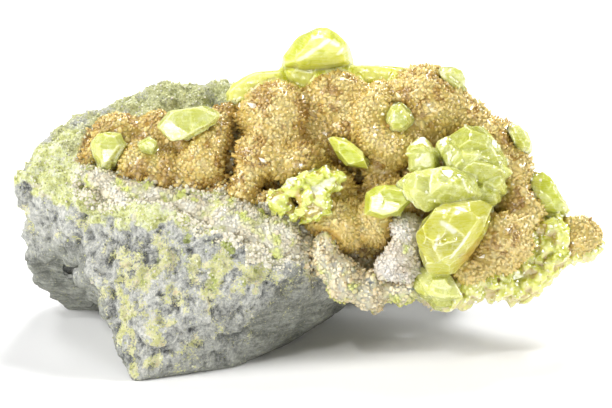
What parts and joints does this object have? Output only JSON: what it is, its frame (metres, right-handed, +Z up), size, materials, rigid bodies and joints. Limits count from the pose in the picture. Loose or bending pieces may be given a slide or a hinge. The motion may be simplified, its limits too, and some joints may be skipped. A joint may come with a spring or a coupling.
{
  "type": "native sulfur crystal specimen",
  "caption": "Hand specimen of yellow-green sulfur crystals and honey-brown calcite druse on grey limestone, standing on the broken base of the stone, with an overhanging ledge.",
  "frame": {"origin": "centre of the footprint box, on the surface the stone stands on", "axes": "+X along the specimen's length, towards the overhanging crystal ledge; -Y is the crystal-covered face; +Z is up"},
  "size_m": [0.0941, 0.0499, 0.0494],
  "materials": {
    "limestone": "matte",
    "honey_calcite": "satin",
    "pale_calcite": "satin",
    "sulfur": "gloss"
  },
  "bodies": {
    "root": {"sulfur_dome_crystal": "sulfur", "sulfur_slab_crystal": "sulfur", "sulfur_left_plate_crystal": "sulfur", "sulfur_left_small_crystal": "sulfur", "sulfur_left_bead_crystal": "sulfur", "sulfur_lens_crystal": "sulfur", "sulfur_recess_crystal": "sulfur", "sulfur_centre_cluster": "sulfur", "sulfur_mid_crystal": "sulfur", "sulfur_front_crystal": "sulfur", "sulfur_lower_crystal": "sulfur", "sulfur_right_cluster": "sulfur", "sulfur_edge_crystal": "sulfur", "sulfur_crest_crystal": "sulfur", "sulfur_shoulder_crystal": "sulfur", "honey_druse_tip": "honey_calcite", "honey_druse_right": "honey_calcite", "honey_druse_centre": "honey_calcite", "honey_druse_left": "honey_calcite", "white_calcite_knob": "pale_calcite", "sulfur_ledge": "sulfur", "peach_calcite_ledge": "pale_calcite", "pale_calcite_band": "pale_calcite", "matrix_rock": "limestone"}
  },
  "joints": []
}
